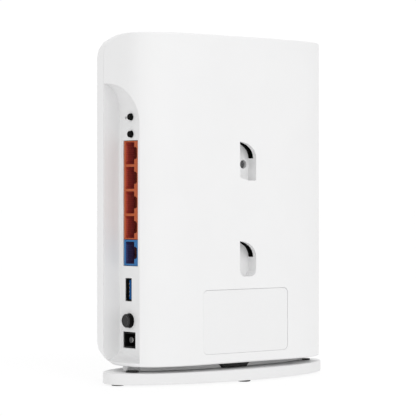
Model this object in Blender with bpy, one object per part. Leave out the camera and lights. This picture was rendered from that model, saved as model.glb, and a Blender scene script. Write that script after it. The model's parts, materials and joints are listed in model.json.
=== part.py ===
"""Upright home gateway on an oval stand.

The back faces +Y, the port bay is on the +X side and +Z is up. The origin is under the middle of the feet.
Sizes are in millimetres and every mesh is scaled to metres as it is made. The two shells are cut from one
body: a superellipse in plan whose rim is rounded generously at the front and only broken at the back.
"""

import math

import bmesh
import bpy

MM = 0.001
GAP = 0.3  # clearance between neighbours

# Case
BODY_HALF_WIDTH = 70.8
BODY_HALF_DEPTH = 32.7
BODY_POWER = 3.8  # superellipse exponent of the plan
BODY_Y = -1.7  # centre of the plan
BODY_LOW, BODY_HIGH = 10.9, 197.9
RIM_FRONT, RIM_REAR = 12.2, 1.2  # rim rounding of the front shell and of the rear shell
RIM_BLEND_TOP, RIM_BLEND_LOW = (-20.0, 10.0), (-22.0, 2.0)  # where it changes from one to the other
WALL = 2.2
LIP = 1.5  # the rear shell's tongue inside the front shell
PLAN_POINTS = 88
PLAN_BEND = 40.0  # millimetres of outline that a bend of one radian counts for
RIM_STEPS = 4

# Seam between the shells
SEAM_Y = -11.7
SEAM_RADIUS = 11.0
SEAM_TURN = math.radians(55)
SEAM_GAP = 0.12

# Port bay
PORT_X = 60.0
BAY_DEPTH = 10.8
BAY_LABEL_Y = -10.1
BAY_REAR_Y, BAY_REAR_RAMP = 9.6, 9.0
BAY_TOP_RAMP = 18.0
BAY_SHOULDER_Z, BAY_ARCH, BAY_POWER = 145.9, 24.3, 2.3  # the outer rim's quarter oval over the bay
BAY_LOW, BAY_FOOT, BAY_FOOT_RISE = 12.8, 15.5, 6.5
BAY_FILLET = 0.8
BAY_ARC_STEPS = 14
SOCKET_PITCH = 13.97
GANG_Z = (81.8, 137.6)
SINGLE_Z = (66.9, 81.5)
SOCKET_Y = (-6.9, 6.2)
USB_Y, USB_Z = (-4.9, 0.5), (46.9, 59.5)
DC_Y, DC_Z = (-6.9, 4.0), (20.3, 29.0)
POWER_Y, POWER_Z, POWER_RADIUS = -1.2, 35.7, 3.95
POWER_PROUD = 3.2
KEY_Y, WIFI_Z, WPS_Z, KEY_RADIUS, KEY_PROUD = 0.4, 151.2, 141.4, 1.85, 1.8
RESET_Y, RESET_Z, RESET_HOLE = -4.7, 150.9, 0.9

# Back
POCKET_X = (-7.2, 5.1)
POCKET_FLOOR_Y = 24.0
POCKET_ARCH = 9.0
POCKETS_Z = ((115.3, 137.4), (60.1, 80.5))
SCREW_X, SCREW_Z = -3.3, 124.7
LABEL_HALF_WIDTH, LABEL_Z, LABEL_CORNER = 32.0, (16.7, 53.1), 3.0
LABEL_RECESS, LABEL_SINK, LABEL_THICK = 0.7, 0.05, 0.35

# Stand
PLATE_HALF_WIDTH, PLATE_HALF_DEPTH, PLATE_POWER = 78.9, 31.4, 1.95
STAND_Y = 3.0
PLATE_LOW, PLATE_HIGH = 0.9, 7.35
NECK_HALF_WIDTH, NECK_HALF_DEPTH = 66.0, 21.0
NECK_RECESS_X, NECK_RECESS = 62.0, 4.5
STAND_SCREW_X, STAND_SCREW_Y = 36.0, 4.0
PAD_X, PAD_Y, PAD_RADIUS = 65.3, 8.2, 3.6
FOOT_RADIUS = 3.6
FEET = {"foot_port": (72.0, 3.6), "foot_far": (-72.0, 3.6), "foot_rear": (0.8, 29.6), "foot_front": (0.8, -23.4)}

# Electronics
BOARD_X, BOARD_Y, BOARD_Z = (-54.0, 56.5), (-8.8, -7.2), (19.0, 182.0)
SOCKET_BACK = 40.0
FRAME_Y = (-13.1, -9.1)
BOARD_SCREWS = ((-48.0, 26.0), (-48.0, 172.0), (36.0, 26.0), (36.0, 172.0))
SINK_X, SINK_Z, SINK_FINS = (-32.0, 24.0), (52.0, 112.0), 10


def clear_scene():
    for old in list(bpy.data.objects):
        bpy.data.objects.remove(old, do_unlink=True)


def finish(name, colour, roughness, metallic=0.0):
    """A Principled material."""
    look = bpy.data.materials.new(name)
    look.use_nodes = True
    shader = look.node_tree.nodes["Principled BSDF"]
    shader.inputs["Base Color"].default_value = (*colour, 1.0)
    shader.inputs["Roughness"].default_value = roughness
    shader.inputs["Metallic"].default_value = metallic
    return look


def assembly(name):
    """An empty that holds the pieces of one sub-assembly."""
    holder = bpy.data.objects.new(name, None)
    bpy.context.scene.collection.objects.link(holder)
    return holder


def placed(name, mesh_builder, look, parent, at=(0.0, 0.0, 0.0)):
    """Turns a bmesh in millimetres into a named object, whose origin stands at the given point."""
    bmesh.ops.recalc_face_normals(mesh_builder, faces=mesh_builder.faces)
    bmesh.ops.translate(mesh_builder, verts=mesh_builder.verts, vec=[-value for value in at])
    bmesh.ops.scale(mesh_builder, verts=mesh_builder.verts, vec=(MM, MM, MM))
    mesh = bpy.data.meshes.new(name)
    mesh_builder.to_mesh(mesh)
    mesh_builder.free()
    piece = bpy.data.objects.new(name, mesh)
    piece.location = [value * MM for value in at]
    piece.parent = parent
    bpy.context.scene.collection.objects.link(piece)
    if look is None:
        piece.hide_render = True
        piece.display_type = "WIRE"
    else:
        mesh.materials.append(look)
        mesh.shade_smooth()
        mesh.set_sharp_from_angle(angle=math.radians(35))
    return piece


def prism(name, outline, low, high, axis="Z", look=None, parent=None, at=(0.0, 0.0, 0.0)):
    """An outline extruded along an axis. The outline holds the two other coordinates, in X, Y, Z order."""
    place = {"X": lambda p, h: (h, *p), "Y": lambda p, h: (p[0], h, p[1]), "Z": lambda p, h: (*p, h)}[axis]
    builder = bmesh.new()
    face = builder.faces.new([builder.verts.new(place(point, low)) for point in outline])
    grown = bmesh.ops.extrude_face_region(builder, geom=[face])["geom"]
    moved = [item for item in grown if isinstance(item, bmesh.types.BMVert)]
    bmesh.ops.translate(builder, verts=moved, vec=place((0.0, 0.0), high - low))
    return placed(name, builder, look, parent, at)


def box(name, x, y, z, look=None, parent=None, bevel=0.0, at=(0.0, 0.0, 0.0)):
    """A box between the given pairs of limits, its edges bevelled where asked."""
    outline = ((x[0], y[0]), (x[1], y[0]), (x[1], y[1]), (x[0], y[1]))
    piece = prism(name, outline, z[0], z[1], "Z", look, parent, at)
    if bevel:
        edge = piece.modifiers.new("edge", "BEVEL")
        edge.width = bevel * MM
        edge.segments = 2
    return piece


def circle(centre, radius, sides):
    """The corners of a regular polygon about a centre."""
    turns = [2 * math.pi * (step + 0.5) / sides for step in range(sides)]
    return [(centre[0] + radius * math.cos(turn), centre[1] + radius * math.sin(turn)) for turn in turns]


def rod(name, axis, centre, radius, low, high, sides=24, look=None, parent=None, at=(0.0, 0.0, 0.0)):
    """A round bar along an axis."""
    return prism(name, circle(centre, radius, sides), low, high, axis, look, parent, at)


def turned(name, axis, centre, profile, sides=24, look=None, parent=None, at=(0.0, 0.0, 0.0)):
    """A stepped round piece: rings of (position along the axis, radius), closed at both ends."""
    place = {"X": lambda p, h: (h, *p), "Y": lambda p, h: (p[0], h, p[1]), "Z": lambda p, h: (*p, h)}[axis]
    rings = [[place(point, height) for point in circle(centre, radius, sides)] for height, radius in profile]
    return stack(name, rings, look, parent, at)


def stack(name, rings, look=None, parent=None, at=(0.0, 0.0, 0.0)):
    """A closed skin through rings of equal count, with a flat cap on the first and on the last."""
    builder = bmesh.new()
    rows = [[builder.verts.new(point) for point in ring] for ring in rings]
    count = len(rows[0])
    for lower, upper in zip(rows, rows[1:]):
        for step in range(count):
            following = (step + 1) % count
            builder.faces.new((lower[step], lower[following], upper[following], upper[step]))
    builder.faces.new(rows[0])
    builder.faces.new(rows[-1])
    return placed(name, builder, look, parent, at)


def combine(target, operation, others):
    """Adds a Boolean for each of the other objects."""
    for other in others:
        step = target.modifiers.new(other.name, "BOOLEAN")
        step.operation = operation
        step.object = other
        step.solver = "EXACT"
    return target


def cut(target, *others):
    return combine(target, "DIFFERENCE", others)


def keep(target, *others):
    return combine(target, "INTERSECT", others)


def join(target, *others):
    return combine(target, "UNION", others)


def smooth_step(value, low, high):
    """0 below low, 1 above high and an S-curve between."""
    share = min(1.0, max(0.0, (value - low) / (high - low)))
    return share * share * (3 - 2 * share)


def superellipse(half_x, half_y, power, centre_y, count):
    """Points of a superellipse, closer together where it bends, each with its outward normal."""
    fine = 4000
    dense = []
    for step in range(fine + 1):
        turn = 2 * math.pi * step / fine
        cosine, sine = math.cos(turn), math.sin(turn)
        x = math.copysign(half_x * abs(cosine) ** (2 / power), cosine)
        y = math.copysign(half_y * abs(sine) ** (2 / power), sine)
        normal_x = math.copysign(abs(x / half_x) ** (power - 1) / half_x, x)
        normal_y = math.copysign(abs(y / half_y) ** (power - 1) / half_y, y)
        size = math.hypot(normal_x, normal_y)
        dense.append(((x, y + centre_y), (normal_x / size, normal_y / size)))
    travelled = [0.0]
    for (start, facing), (end, turned_to) in zip(dense, dense[1:]):
        travelled.append(travelled[-1] + math.dist(start, end) + PLAN_BEND * math.dist(facing, turned_to))
    points, at = [], 0
    for step in range(count):
        while travelled[at] < travelled[-1] * step / count:
            at += 1
        points.append(dense[at])
    return points


def body(name, inset):
    """The case's outer form, or the form that lies a distance inside it."""
    plan = superellipse(BODY_HALF_WIDTH, BODY_HALF_DEPTH, BODY_POWER, BODY_Y, PLAN_POINTS)
    rings = []
    for end in (-1, 1):
        steps = range(RIM_STEPS + 1) if end < 0 else range(RIM_STEPS, -1, -1)
        for step in steps:
            turn = math.pi / 2 * step / RIM_STEPS
            ring = []
            for (x, y), (normal_x, normal_y) in plan:
                blend = RIM_BLEND_TOP if end > 0 else RIM_BLEND_LOW
                full = RIM_FRONT + (RIM_REAR - RIM_FRONT) * smooth_step(y, *blend)
                rim = max(full - inset, 0.4)
                inward = inset + rim * (1 - math.sin(turn))
                height = BODY_HIGH if end > 0 else BODY_LOW
                z = height - end * (inset + rim * (1 - math.cos(turn)))
                ring.append((x - normal_x * inward, y - normal_y * inward, z))
            rings.append(ring)
    return stack(name, rings)


def seam_line(shift):
    """The seam in side view, bottom to top, moved a little along Y: upright, then leaning back at the top."""
    line = [(SEAM_Y + shift, BODY_LOW - 20.0)]
    for step in range(7):
        turn = SEAM_TURN * step / 6
        y = SEAM_Y + shift + SEAM_RADIUS * (1 - math.cos(turn))
        line.append((y, BODY_HIGH - SEAM_RADIUS * (1 - math.sin(turn))))
    y, z = line[-1]
    reach = 30.0
    line.append((y + reach * math.sin(SEAM_TURN), z + reach * math.cos(SEAM_TURN)))
    return line


def shell_region(name, side):
    """All that lies in front of the seam (side -1) or behind it (side 1), less half of the gap."""
    line = seam_line(side * SEAM_GAP / 2)
    far = 90.0 * side
    outline = line + [(far, line[-1][1]), (far, line[0][1])]
    return prism(name, outline, -90.0, 90.0, "X")


def bay_outline(depth, grow):
    """The bay's outline at a distance out from its floor: upright in front, oval over the top, soft below."""
    share = min(1.0, depth / BAY_DEPTH)
    rise = math.sqrt(1 - (1 - share) ** 2)
    corner = max(0.0, 1 - depth / BAY_FILLET)
    front = BAY_LABEL_Y - 0.12 * depth + BAY_FILLET * (1 - math.sqrt(1 - corner**2)) - grow
    rear = BAY_REAR_Y + BAY_REAR_RAMP * rise + grow
    shoulder = BAY_SHOULDER_Z - BAY_TOP_RAMP * (1 - rise)
    outline = []
    for step in range(BAY_ARC_STEPS + 1):
        turn = math.pi / 2 * step / BAY_ARC_STEPS
        y = front + (rear - front) * math.sin(turn) ** (2 / BAY_POWER)
        outline.append((y, shoulder + (BAY_ARCH + grow) * max(0.0, math.cos(turn)) ** (2 / BAY_POWER)))
    outline.append((rear, 60.0))
    for step in range(6):
        y = rear + (front - rear) * step / 5
        foot = BAY_FOOT + BAY_FOOT_RISE * math.exp(-(y - SEAM_Y) / 6.0)
        outline.append((y, foot + (BAY_LOW - foot) * rise - grow))
    outline.append((front, 60.0))
    return outline


def bay(name, grow):
    """The cutter of the port bay, or with its walls added around it."""
    depths = [0.0, 0.1, 0.35, 0.75, 1.2, 2.0, 3.2, 4.8, 6.6, 8.4, 10.0, BAY_DEPTH, BAY_DEPTH + 12.0]
    rings = []
    for depth in depths:
        x = PORT_X + depth - grow
        rings.append([(x, y, z) for y, z in bay_outline(depth, grow)])
    return stack(name, rings)


def pocket_outline(z, square_foot, grow=0.0):
    """A wall-mount pocket from behind: one straight side, a quarter-oval top, and a square or a round foot."""
    low, high = z[0] - grow, z[1] + grow
    left, right = POCKET_X[0] - grow, POCKET_X[1] + grow
    outline = [(right, high)]
    for step in range(1, 9):
        turn = math.pi / 2 * step / 8
        outline.append((right - (right - left) * math.sin(turn), high - POCKET_ARCH * (1 - math.cos(turn))))
    if square_foot:
        return outline + [(left, low), (right - 6.5, low), (right, low + 1.8)]
    foot = 4.0
    for centre_x, start in ((left + foot, 180), (right - foot, 270)):
        for step in range(5):
            turn = math.radians(start + 90 * step / 4)
            outline.append((centre_x + foot * math.cos(turn), low + foot + foot * math.sin(turn)))
    return outline


def rounded_rectangle(half_x, z, radius, steps=4):
    """The corners of a rectangle with round corners, in X and Z."""
    outline = []
    corners = ((half_x, z[1], 0), (-half_x, z[1], 90), (-half_x, z[0], 180), (half_x, z[0], 270))
    for x, height, start in corners:
        centre = (x - math.copysign(radius, x), height - math.copysign(radius, height - sum(z) / 2))
        for step in range(steps + 1):
            turn = math.radians(start + 90 * step / steps)
            outline.append((centre[0] + radius * math.cos(turn), centre[1] + radius * math.sin(turn)))
    return outline


def label_block(name, shrink):
    outline = rounded_rectangle(LABEL_HALF_WIDTH - shrink, (LABEL_Z[0] + shrink, LABEL_Z[1] - shrink), LABEL_CORNER)
    return prism(name, outline, 20.0, 40.0, "Y")


def port_cutters():
    """The openings in the bay's floor."""
    through = (PORT_X - 6.0, PORT_X + 6.0)
    windows = []
    frames = {
        "socket_window": (SOCKET_Y, (SINGLE_Z[0], GANG_Z[1])),
        "usb_window": (USB_Y, USB_Z),
        "dc_window": (DC_Y, DC_Z),
    }
    for name, (y, z) in frames.items():
        windows.append(box(name, through, (y[0] - GAP, y[1] + GAP), (z[0] - GAP, z[1] + GAP)))
    rounds = {
        "power_hole": (POWER_Y, POWER_Z, POWER_RADIUS + GAP, 32),
        "wifi_hole": (KEY_Y, WIFI_Z, KEY_RADIUS + GAP, 20),
        "wps_hole": (KEY_Y, WPS_Z, KEY_RADIUS + GAP, 20),
        "reset_hole": (RESET_Y, RESET_Z, RESET_HOLE, 12),
    }
    for name, (y, z, radius, sides) in rounds.items():
        windows.append(rod(name, "X", (y, z), radius, *through, sides))
    return windows


def rear_shell(case, look):
    """The rear cover: back, top, underside, port bay, pockets, label recess and screw bosses in one moulding."""
    cover = body("rear_cover", 0.0)
    tongue = keep(body("tongue_body", WALL + GAP), box("tongue_slab", (-90, 90), (SEAM_Y - 2.6, SEAM_Y + 4), (0, 220)))
    wide = keep(body("wide_hollow", WALL), box("wide_slab", (-90, 90), (SEAM_Y + 2.4, 60), (0, 220)))
    hollow = join(body("hollow", WALL + GAP + LIP), wide)
    pockets, cups = [], []
    for index, z in enumerate(POCKETS_Z):
        square = index == 0
        pockets.append(prism(f"pocket_{index}", pocket_outline(z, square), POCKET_FLOOR_Y, 40, "Y"))
        cups.append(prism(f"cup_{index}", pocket_outline(z, square, 1.8), POCKET_FLOOR_Y - 1.8, 40, "Y"))
        slot = prism(f"slot_{index}", pocket_outline(z, square, 3.4), POCKET_FLOOR_Y + 0.3, 28.2, "Y")
        pockets.append(keep(slot, box(f"slot_zone_{index}", (-20, 4.8), (20, 30), (z[1] - 9.3, z[1] + 9))))
    bosses = [rod("case_screw_boss", "Y", (SCREW_X, SCREW_Z), 4.4, 18.2, 25.0)]
    drills = [
        rod("case_screw_recess", "Y", (SCREW_X, SCREW_Z), 2.5, 20.6, 26.0, 20),
        rod("case_screw_drill", "Y", (SCREW_X, SCREW_Z), 1.5, 10.0, 26.0, 16),
    ]
    for side in (-1, 1):
        centre = (side * STAND_SCREW_X, STAND_SCREW_Y)
        bosses.append(rod(f"stand_boss_{side}", "Z", centre, 3.6, 12.0, 22.0, 20))
        drills.append(rod(f"stand_drill_{side}", "Z", centre, 1.7, 8.0, 21.0, 16))
    cut(hollow, bay("bay_walls", 1.9), *cups, *bosses)
    recess = cut(label_block("label_recess", 0.0), body("label_floor", LABEL_RECESS))
    keep(cover, shell_region("behind_seam", 1))
    join(cover, tongue)
    cut(cover, hollow, bay("bay_cutter", 0.0), *port_cutters(), *pockets, *drills, recess)
    show(cover, look, case)


def front_shell(case, look):
    """The front cover, with the slot for the light guide."""
    cover = body("front_cover", 0.0)
    keep(cover, shell_region("before_seam", -1))
    cut(cover, body("front_hollow", WALL), box("light_slot", (-6.6, 6.6), (-40, -28), (28.6, 31.4)))
    show(cover, look, case)


def show(piece, look, parent):
    """Makes a piece that was built as a guide a part of the object."""
    piece.hide_render = False
    piece.display_type = "TEXTURED"
    piece.parent = parent
    piece.data.materials.append(look)
    piece.data.shade_smooth()
    piece.data.set_sharp_from_angle(angle=math.radians(35))


def label(case, look):
    sheet = label_block("rating_label", GAP)
    keep(sheet, body("label_front", LABEL_SINK))
    cut(sheet, body("label_back", LABEL_SINK + LABEL_THICK))
    show(sheet, look, case)


def screw(name, axis, centre, head, shank, look, parent, sides=12):
    """A pan-head screw: head and shank are each (radius, start, end) along the axis, the head first."""
    profile = [(head[1], head[0] * 0.8), (head[1] + (head[2] - head[1]) * 0.35, head[0]), (head[2], head[0])]
    profile += [(head[2], shank[0]), (shank[2], shank[0]), (shank[2] + (shank[2] - head[2]) * 0.08, shank[0] * 0.4)]
    start = {"Y": (centre[0], head[1], centre[1]), "Z": (*centre, head[1])}[axis]
    return turned(name, axis, centre, profile, sides, look, parent, start)


def neck_outline():
    """The neck in plan: an oval whose rear side is set back between its two ends."""
    outline = []
    sides = 72
    for step in range(sides):
        turn = 2 * math.pi * step / sides
        x, y = NECK_HALF_WIDTH * math.cos(turn), NECK_HALF_DEPTH * math.sin(turn)
        if y > 0 and abs(x) < NECK_RECESS_X:
            y = min(y, (NECK_HALF_DEPTH - NECK_RECESS) * math.sqrt(1 - (x / (NECK_RECESS_X + 1.5)) ** 2))
        outline.append((x, STAND_Y + y))
    return outline


def stand(holder, white, black, steel):
    """Plate, neck, lock tab, pads, feet and the two screws that hold the stand to the case."""
    rings = []
    edge = 0.7
    for inset, z in ((edge, PLATE_LOW), (0.2, PLATE_LOW + 0.2), (0.0, PLATE_LOW + edge), (0.0, PLATE_HIGH - edge),
                     (0.2, PLATE_HIGH - 0.2), (edge, PLATE_HIGH)):
        oval = superellipse(PLATE_HALF_WIDTH - inset, PLATE_HALF_DEPTH - inset, PLATE_POWER, STAND_Y, 72)
        rings.append([(x, y, z) for (x, y), _ in oval])
    plate = stack("base_plate", rings, white, holder)
    neck_z = (PLATE_HIGH + GAP, BODY_LOW - GAP)
    neck = prism("stand_neck", neck_outline(), *neck_z, "Z", white, holder)
    tab_low, tab_high = 8.8, 11.7
    tab = [(-tab_low, neck_z[0]), (tab_low, neck_z[0]), (tab_high, neck_z[1]), (-tab_high, neck_z[1])]
    tab_y = (STAND_Y + 9.0, STAND_Y + 17.7)
    prism("stand_lock", tab, *tab_y, "Y", black, holder)
    lean = (tab_high - tab_low) / (neck_z[1] - neck_z[0])
    low, high = tab_low + GAP - lean * neck_z[0], tab_high + GAP + lean * (20.0 - neck_z[1])
    slot = [(-low, 0.0), (low, 0.0), (high, 20.0), (-high, 20.0)]
    cut(neck, prism("lock_slot", slot, tab_y[0] - GAP, 60.0, "Y"))
    for side, name in ((1, "neck_pad_port"), (-1, "neck_pad_far")):
        centre = (side * PAD_X, PAD_Y)
        rod(name, "Z", centre, PAD_RADIUS, PLATE_HIGH + GAP / 2, PLATE_HIGH + 1.0, 20, black, holder)
        cut(neck, rod(name + "_seat", "Z", centre, PAD_RADIUS + GAP, 0.0, 20.0, 20))
    for name, (x, y) in FEET.items():
        foot = [(0.0, FOOT_RADIUS - 0.3), (0.3, FOOT_RADIUS), (1.6, FOOT_RADIUS)]
        turned(name, "Z", (x, y), foot, 20, black, holder, (x, y, 0.0))
        cut(plate, rod(name + "_seat", "Z", (x, y), FOOT_RADIUS + GAP, 0.0, 1.6 + GAP, 20))
    for side, name in ((1, "stand_screw_port"), (-1, "stand_screw_far")):
        centre = (side * STAND_SCREW_X, STAND_SCREW_Y)
        drill = rod(name + "_drill", "Z", centre, 1.8, 0.0, 20.0, 16)
        cut(plate, rod(name + "_seat", "Z", centre, 3.6, 0.0, 4.2, 20), drill)
        cut(neck, drill)
        screw(name, "Z", centre, (3.2, 2.0, 3.9), (1.4, 3.9, 19.0), steel, holder)


def socket_opening(name, z):
    """One RJ45 cavity: a wide part for the plug and a stepped notch for its latch."""
    half, notch, tip = 6.25, 3.4, 2.0
    low, middle, step, high = SOCKET_Y[0] + 1.6, 2.5, 3.9, 5.6
    outline = [(low, z - half), (middle, z - half), (middle, z - notch), (step, z - notch), (high, z - tip)]
    outline += [(high, z + tip), (step, z + notch), (middle, z + notch), (middle, z + half), (low, z + half)]
    return prism(name, outline, PORT_X - 14.5, PORT_X + 2.0, "X")


def contacts(name, z, look, parent):
    """The eight contact wires of a socket on their carrier: a comb in section, drawn along the plug's way."""
    base, top = SOCKET_Y[0] + 1.9, SOCKET_Y[0] + 2.4
    outline = [(base, z - 4.9), (base, z + 4.9)]
    for index in range(8):
        middle = z + 1.02 * (3.5 - index)
        outline += [(top, middle + 0.3), (top + 0.9, middle + 0.3), (top + 0.9, middle - 0.3), (top, middle - 0.3)]
    outline[2:2] = [(top, z + 4.9)]
    outline.append((top, z - 4.9))
    return prism(name, outline, PORT_X - 14.2, PORT_X - 6.5, "X", look, parent)


def sockets(holder, orange, blue, gold):
    """The gang of four sockets, the single one below it, and the contacts in each."""
    front = PORT_X - 0.4
    gang = box("rj45_gang", (SOCKET_BACK, front), SOCKET_Y, GANG_Z, orange, holder)
    middle = sum(GANG_Z) / 2
    for index in range(4):
        z = middle + SOCKET_PITCH * (1.5 - index)
        cut(gang, socket_opening(f"gang_cavity_{index + 1}", z))
        contacts(f"socket_contacts_{index + 1}", z, gold, holder)
    single = box("rj45_single", (SOCKET_BACK, front), SOCKET_Y, SINGLE_Z, blue, holder)
    z = sum(SINGLE_Z) / 2
    cut(single, socket_opening("single_cavity", z))
    contacts("socket_contacts_5", z, gold, holder)


def usb(holder, steel, blue):
    """The USB-A receptacle: a folded steel shell and the tongue that carries its contacts."""
    front = PORT_X - 0.2
    shell = box("usb_shell", (PORT_X - 17.0, front), USB_Y, USB_Z, steel, holder)
    wall = 0.35
    inside = ((USB_Y[0] + wall, USB_Y[1] - wall), (USB_Z[0] + wall, USB_Z[1] - wall))
    cut(shell, box("usb_cavity", (PORT_X - 15.5, PORT_X + 2), *inside))
    box("usb_tongue", (PORT_X - 15.2, PORT_X - 0.6), (-2.3, -0.15), (USB_Z[0] + 0.8, USB_Z[1] - 0.8), blue, holder, 0.2)


def dc_inlet(holder, black, steel):
    """The power inlet: a square black body with a centre pin."""
    body_block = box("dc_jack", (PORT_X - 15.0, PORT_X - 0.3), DC_Y, DC_Z, black, holder)
    inside = ((DC_Y[0] + 0.9, DC_Y[1] - 0.9), (DC_Z[0] + 0.8, DC_Z[1] - 0.8))
    middle = (sum(DC_Y) / 2, sum(DC_Z) / 2)
    cut(body_block, box("dc_cavity", (PORT_X - 11.0, PORT_X + 2), *inside))
    pin = [(PORT_X - 10.7, 1.9), (PORT_X - 1.5, 1.9), (PORT_X - 1.1, 1.5)]
    turned("dc_pin", "X", middle, pin, 16, steel, holder)


def power_control(holder, black, grey):
    """The on/off button, the plunger it is pressed on to, and the latching switch behind it."""
    at = (PORT_X, POWER_Y, POWER_Z)
    radius, flange = POWER_RADIUS, POWER_RADIUS + 0.9
    back = PORT_X - 4.8
    profile = [(back, flange), (back + 1.2, flange), (back + 1.2, radius), (PORT_X + POWER_PROUD - 0.5, radius)]
    profile += [(PORT_X + POWER_PROUD, radius - 0.5)]
    button = turned("power_button", "X", at[1:], profile, 32, black, holder, at)
    bore_y, bore_z = (POWER_Y - 2.3, POWER_Y + 2.3), (POWER_Z - 2.3, POWER_Z + 2.3)
    cut(button, box("plunger_bore", (back - 1, PORT_X - 0.6), bore_y, bore_z))
    plunger_y, plunger_z = (POWER_Y - 2.0, POWER_Y + 2.0), (POWER_Z - 2.0, POWER_Z + 2.0)
    box("power_plunger", (PORT_X - 12.0, PORT_X - 0.9), plunger_y, plunger_z, grey, holder, 0.0, at)
    shell_y, shell_z = (POWER_Y - 5.0, POWER_Y + 5.0), (POWER_Z - 6.0, POWER_Z + 6.0)
    switch = box("power_switch", (PORT_X - 24.0, PORT_X - 8.0), shell_y, shell_z, grey, holder)
    cut(switch, box("switch_bore", (PORT_X - 14.8, PORT_X), bore_y, bore_z))


def key_control(holder, name, z, black, steel):
    """A small round key with a domed end, and the tact switch behind it."""
    at = (PORT_X, KEY_Y, z)
    back = PORT_X - 3.5
    profile = [(back, KEY_RADIUS + 0.55), (back + 0.8, KEY_RADIUS + 0.55), (back + 0.8, KEY_RADIUS)]
    profile += [(PORT_X + KEY_PROUD - 0.35, KEY_RADIUS), (PORT_X + KEY_PROUD - 0.1, KEY_RADIUS - 0.1)]
    profile.append((PORT_X + KEY_PROUD, KEY_RADIUS - 0.35))
    turned(name + "_button", "X", at[1:], profile, 16, black, holder, at)
    tact_switch(holder, name, KEY_Y, z, 1.85, 1.1, black, steel)


def tact_switch(holder, name, y, z, half, plunger, black, steel):
    """A side-pressed switch on the board's edge, with its plunger in a bore."""
    front = PORT_X - 4.6
    housing = box(name + "_switch", (front - 5.0, front), (y - half, y + half), (z - 1.9, z + 1.9), steel, holder)
    cut(housing, rod(name + "_bore", "X", (y, z), plunger + 0.2, front - 1.4, front + 1.0, 16))
    rod(name + "_plunger", "X", (y, z), plunger, front - 0.7, PORT_X - 3.8, 16, black, holder, (PORT_X, y, z))


def board(holder, green, steel, black):
    """The main board with its screws, and the chips and shield cans on it."""
    main = box("main_board", BOARD_X, BOARD_Y, BOARD_Z, green, holder)
    for index, (x, z) in enumerate(BOARD_SCREWS):
        cut(main, rod(f"board_drill_{index}", "Y", (x, z), 1.7, -10, 0, 16))
        rod_profile = [(BOARD_Y[1] + 2.0, 2.2), (BOARD_Y[1] + 1.4, 2.8), (BOARD_Y[1] + GAP, 2.8)]
        rod_profile += [(BOARD_Y[1] + GAP, 1.3), (FRAME_Y[0] + 0.8, 1.3)]
        turned(f"board_screw_{index + 1}", "Y", (x, z), rod_profile, 12, steel, holder, (x, BOARD_Y[1], z))
    cut(main, rod("post_cutout", "Y", (SCREW_X, SCREW_Z), 4.6, -10, 0))
    front, rear = BOARD_Y[0] - GAP, BOARD_Y[1] + GAP
    box("processor", (-16.0, 8.0), (front - 1.2, front), (68.0, 92.0), black, holder)
    box("memory_chip", (-16.0, -4.0), (front - 1.0, front), (46.0, 60.0), black, holder)
    box("shield_can_upper", (-44.0, -12.0), (rear, rear + 3.0), (138.0, 166.0), steel, holder, 0.5)
    box("shield_can_lower", (-44.0, -10.0), (rear, rear + 3.0), (60.0, 100.0), steel, holder, 0.5)
    capacitor = [(rear, 4.0), (rear + 11.0, 4.0), (rear + 11.6, 3.4)]
    turned("bulk_capacitor", "Y", (22.0, 34.0), capacitor, 20, black, holder)
    box("status_led", (-2.0, 2.0), (front - 1.0, front), (29.0, 31.0), steel, holder)


def heat_sink(holder, metal):
    """An extruded heat sink over the processor, its fins upright and facing the front."""
    base_y, foot, tip = BOARD_Y[0] - GAP - 1.2 - GAP, 3.0, 17.0
    pitch = (SINK_X[1] - SINK_X[0] - 1.2) / (SINK_FINS - 1)
    outline = [(SINK_X[1], base_y), (SINK_X[0], base_y)]
    for index in range(SINK_FINS):
        left = SINK_X[0] + pitch * index
        outline += [(left, base_y - tip), (left + 1.2, base_y - tip)]
        if index < SINK_FINS - 1:
            outline += [(left + 1.2, base_y - foot), (left + pitch, base_y - foot)]
    prism("heat_sink", outline, *SINK_Z, "Z", metal, holder)


def inner_frame(holder, grey):
    """The carrier behind the front cover: an open frame with the post that takes the case screw."""
    frame = box("inner_frame", (-60.0, 52.0), FRAME_Y, (15.5, 186.0), grey, holder)
    cut(frame, box("frame_window", (-42.0, 30.0), (-20, 0), (36.0, 166.0)))
    post = rod("screw_post", "Y", (SCREW_X, SCREW_Z), 4.2, FRAME_Y[0] + 1.2, 17.8)
    bridge = box("post_bridge", (-50.0, 40.0), (FRAME_Y[0] + 0.5, FRAME_Y[0] + 3.5), (SCREW_Z - 5.0, SCREW_Z + 5.0))
    cut(post, rod("post_drill", "Y", (SCREW_X, SCREW_Z), 1.5, 4.0, 20.0, 16))
    join(frame, bridge, post)
    for index, (x, z) in enumerate(BOARD_SCREWS):
        cut(frame, rod(f"frame_drill_{index}", "Y", (x, z), 1.6, FRAME_Y[0] - 1, 0, 16))
    cut(frame, box("guide_notch", (-7.4, 7.4), (-20, 0), (27.6, 32.4)))


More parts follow.
